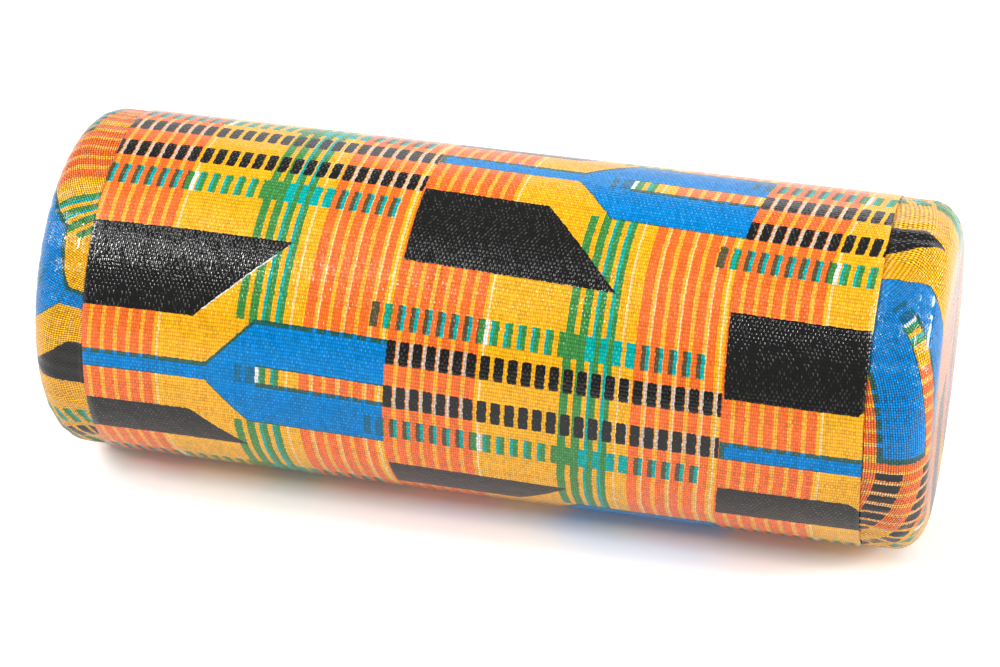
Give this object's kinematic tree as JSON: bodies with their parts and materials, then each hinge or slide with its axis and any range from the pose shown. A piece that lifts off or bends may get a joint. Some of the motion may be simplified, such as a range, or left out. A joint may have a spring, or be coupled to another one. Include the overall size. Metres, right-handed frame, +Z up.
{
  "type": "percussion shaker",
  "caption": "Tube shaker wrapped in lacquered printed cotton, with rounded cloth-covered ends and loose pellets inside that rattle when it is shaken.",
  "frame": {"origin": "on the floor, under the middle of the tube, with the shaker lying on its side", "axes": "+X along the tube's axis towards the end at the right of the picture, +Y away from the picture's viewer, +Z up"},
  "size_m": [0.178, 0.0694, 0.0695],
  "materials": {
    "tube_plastic": "satin",
    "cap_plastic": "satin",
    "end_cloth": "printed plain weave under clear gloss lacquer",
    "wrap_cloth": "printed plain weave under clear gloss lacquer",
    "pellet_plastic": "polished"
  },
  "bodies": {
    "shaker_body": {"tube_shell": "tube_plastic", "left_end_cap": "cap_plastic", "right_end_cap": "cap_plastic", "left_end_cloth": "end_cloth", "right_end_cloth": "end_cloth", "cloth_wrap": "wrap_cloth"},
    "pellet_01": {"pellet_01": "pellet_plastic"},
    "pellet_02": {"pellet_02": "pellet_plastic"},
    "pellet_03": {"pellet_03": "pellet_plastic"},
    "pellet_04": {"pellet_04": "pellet_plastic"},
    "pellet_05": {"pellet_05": "pellet_plastic"},
    "pellet_06": {"pellet_06": "pellet_plastic"},
    "pellet_07": {"pellet_07": "pellet_plastic"},
    "pellet_08": {"pellet_08": "pellet_plastic"},
    "pellet_09": {"pellet_09": "pellet_plastic"},
    "pellet_10": {"pellet_10": "pellet_plastic"},
    "pellet_11": {"pellet_11": "pellet_plastic"},
    "pellet_12": {"pellet_12": "pellet_plastic"},
    "pellet_13": {"pellet_13": "pellet_plastic"},
    "pellet_14": {"pellet_14": "pellet_plastic"},
    "pellet_15": {"pellet_15": "pellet_plastic"},
    "pellet_16": {"pellet_16": "pellet_plastic"},
    "pellet_17": {"pellet_17": "pellet_plastic"},
    "pellet_18": {"pellet_18": "pellet_plastic"},
    "pellet_19": {"pellet_19": "pellet_plastic"},
    "pellet_20": {"pellet_20": "pellet_plastic"},
    "pellet_21": {"pellet_21": "pellet_plastic"},
    "pellet_22": {"pellet_22": "pellet_plastic"},
    "pellet_23": {"pellet_23": "pellet_plastic"},
    "pellet_24": {"pellet_24": "pellet_plastic"},
    "pellet_25": {"pellet_25": "pellet_plastic"},
    "pellet_26": {"pellet_26": "pellet_plastic"},
    "pellet_27": {"pellet_27": "pellet_plastic"},
    "pellet_28": {"pellet_28": "pellet_plastic"},
    "pellet_29": {"pellet_29": "pellet_plastic"},
    "pellet_30": {"pellet_30": "pellet_plastic"},
    "pellet_31": {"pellet_31": "pellet_plastic"},
    "pellet_32": {"pellet_32": "pellet_plastic"},
    "pellet_33": {"pellet_33": "pellet_plastic"},
    "pellet_34": {"pellet_34": "pellet_plastic"},
    "pellet_35": {"pellet_35": "pellet_plastic"},
    "pellet_36": {"pellet_36": "pellet_plastic"},
    "pellet_37": {"pellet_37": "pellet_plastic"},
    "pellet_38": {"pellet_38": "pellet_plastic"},
    "pellet_39": {"pellet_39": "pellet_plastic"},
    "pellet_40": {"pellet_40": "pellet_plastic"}
  },
  "joints": [
    {"name": "pellet_01_hop", "type": "slide", "parent": "shaker_body", "child": "pellet_01", "axis": [0, 0, 1], "range_m": [0, 0.0508]},
    {"name": "pellet_02_hop", "type": "slide", "parent": "shaker_body", "child": "pellet_02", "axis": [0, 0, 1], "range_m": [0, 0.0508]},
    {"name": "pellet_03_hop", "type": "slide", "parent": "shaker_body", "child": "pellet_03", "axis": [0, 0, 1], "range_m": [0, 0.0508]},
    {"name": "pellet_04_hop", "type": "slide", "parent": "shaker_body", "child": "pellet_04", "axis": [0, 0, 1], "range_m": [0, 0.0508]},
    {"name": "pellet_05_hop", "type": "slide", "parent": "shaker_body", "child": "pellet_05", "axis": [0, 0, 1], "range_m": [0, 0.0508]},
    {"name": "pellet_06_hop", "type": "slide", "parent": "shaker_body", "child": "pellet_06", "axis": [0, 0, 1], "range_m": [0, 0.0508]},
    {"name": "pellet_07_hop", "type": "slide", "parent": "shaker_body", "child": "pellet_07", "axis": [0, 0, 1], "range_m": [0, 0.0508]},
    {"name": "pellet_08_hop", "type": "slide", "parent": "shaker_body", "child": "pellet_08", "axis": [0, 0, 1], "range_m": [0, 0.0508]},
    {"name": "pellet_09_hop", "type": "slide", "parent": "shaker_body", "child": "pellet_09", "axis": [0, 0, 1], "range_m": [0, 0.05495]},
    {"name": "pellet_10_hop", "type": "slide", "parent": "shaker_body", "child": "pellet_10", "axis": [0, 0, 1], "range_m": [0, 0.05495]},
    {"name": "pellet_11_hop", "type": "slide", "parent": "shaker_body", "child": "pellet_11", "axis": [0, 0, 1], "range_m": [0, 0.05495]},
    {"name": "pellet_12_hop", "type": "slide", "parent": "shaker_body", "child": "pellet_12", "axis": [0, 0, 1], "range_m": [0, 0.05495]},
    {"name": "pellet_13_hop", "type": "slide", "parent": "shaker_body", "child": "pellet_13", "axis": [0, 0, 1], "range_m": [0, 0.05495]},
    {"name": "pellet_14_hop", "type": "slide", "parent": "shaker_body", "child": "pellet_14", "axis": [0, 0, 1], "range_m": [0, 0.05495]},
    {"name": "pellet_15_hop", "type": "slide", "parent": "shaker_body", "child": "pellet_15", "axis": [0, 0, 1], "range_m": [0, 0.05495]},
    {"name": "pellet_16_hop", "type": "slide", "parent": "shaker_body", "child": "pellet_16", "axis": [0, 0, 1], "range_m": [0, 0.05495]},
    {"name": "pellet_17_hop", "type": "slide", "parent": "shaker_body", "child": "pellet_17", "axis": [0, 0, 1], "range_m": [0, 0.05636]},
    {"name": "pellet_18_hop", "type": "slide", "parent": "shaker_body", "child": "pellet_18", "axis": [0, 0, 1], "range_m": [0, 0.05636]},
    {"name": "pellet_19_hop", "type": "slide", "parent": "shaker_body", "child": "pellet_19", "axis": [0, 0, 1], "range_m": [0, 0.05636]},
    {"name": "pellet_20_hop", "type": "slide", "parent": "shaker_body", "child": "pellet_20", "axis": [0, 0, 1], "range_m": [0, 0.05636]},
    {"name": "pellet_21_hop", "type": "slide", "parent": "shaker_body", "child": "pellet_21", "axis": [0, 0, 1], "range_m": [0, 0.05636]},
    {"name": "pellet_22_hop", "type": "slide", "parent": "shaker_body", "child": "pellet_22", "axis": [0, 0, 1], "range_m": [0, 0.05636]},
    {"name": "pellet_23_hop", "type": "slide", "parent": "shaker_body", "child": "pellet_23", "axis": [0, 0, 1], "range_m": [0, 0.05636]},
    {"name": "pellet_24_hop", "type": "slide", "parent": "shaker_body", "child": "pellet_24", "axis": [0, 0, 1], "range_m": [0, 0.05636]},
    {"name": "pellet_25_hop", "type": "slide", "parent": "shaker_body", "child": "pellet_25", "axis": [0, 0, 1], "range_m": [0, 0.05495]},
    {"name": "pellet_26_hop", "type": "slide", "parent": "shaker_body", "child": "pellet_26", "axis": [0, 0, 1], "range_m": [0, 0.05495]},
    {"name": "pellet_27_hop", "type": "slide", "parent": "shaker_body", "child": "pellet_27", "axis": [0, 0, 1], "range_m": [0, 0.05495]},
    {"name": "pellet_28_hop", "type": "slide", "parent": "shaker_body", "child": "pellet_28", "axis": [0, 0, 1], "range_m": [0, 0.05495]},
    {"name": "pellet_29_hop", "type": "slide", "parent": "shaker_body", "child": "pellet_29", "axis": [0, 0, 1], "range_m": [0, 0.05495]},
    {"name": "pellet_30_hop", "type": "slide", "parent": "shaker_body", "child": "pellet_30", "axis": [0, 0, 1], "range_m": [0, 0.05495]},
    {"name": "pellet_31_hop", "type": "slide", "parent": "shaker_body", "child": "pellet_31", "axis": [0, 0, 1], "range_m": [0, 0.05495]},
    {"name": "pellet_32_hop", "type": "slide", "parent": "shaker_body", "child": "pellet_32", "axis": [0, 0, 1], "range_m": [0, 0.05495]},
    {"name": "pellet_33_hop", "type": "slide", "parent": "shaker_body", "child": "pellet_33", "axis": [0, 0, 1], "range_m": [0, 0.0508]},
    {"name": "pellet_34_hop", "type": "slide", "parent": "shaker_body", "child": "pellet_34", "axis": [0, 0, 1], "range_m": [0, 0.0508]},
    {"name": "pellet_35_hop", "type": "slide", "parent": "shaker_body", "child": "pellet_35", "axis": [0, 0, 1], "range_m": [0, 0.0508]},
    {"name": "pellet_36_hop", "type": "slide", "parent": "shaker_body", "child": "pellet_36", "axis": [0, 0, 1], "range_m": [0, 0.0508]},
    {"name": "pellet_37_hop", "type": "slide", "parent": "shaker_body", "child": "pellet_37", "axis": [0, 0, 1], "range_m": [0, 0.0508]},
    {"name": "pellet_38_hop", "type": "slide", "parent": "shaker_body", "child": "pellet_38", "axis": [0, 0, 1], "range_m": [0, 0.0508]},
    {"name": "pellet_39_hop", "type": "slide", "parent": "shaker_body", "child": "pellet_39", "axis": [0, 0, 1], "range_m": [0, 0.0508]},
    {"name": "pellet_40_hop", "type": "slide", "parent": "shaker_body", "child": "pellet_40", "axis": [0, 0, 1], "range_m": [0, 0.0508]}
  ]
}
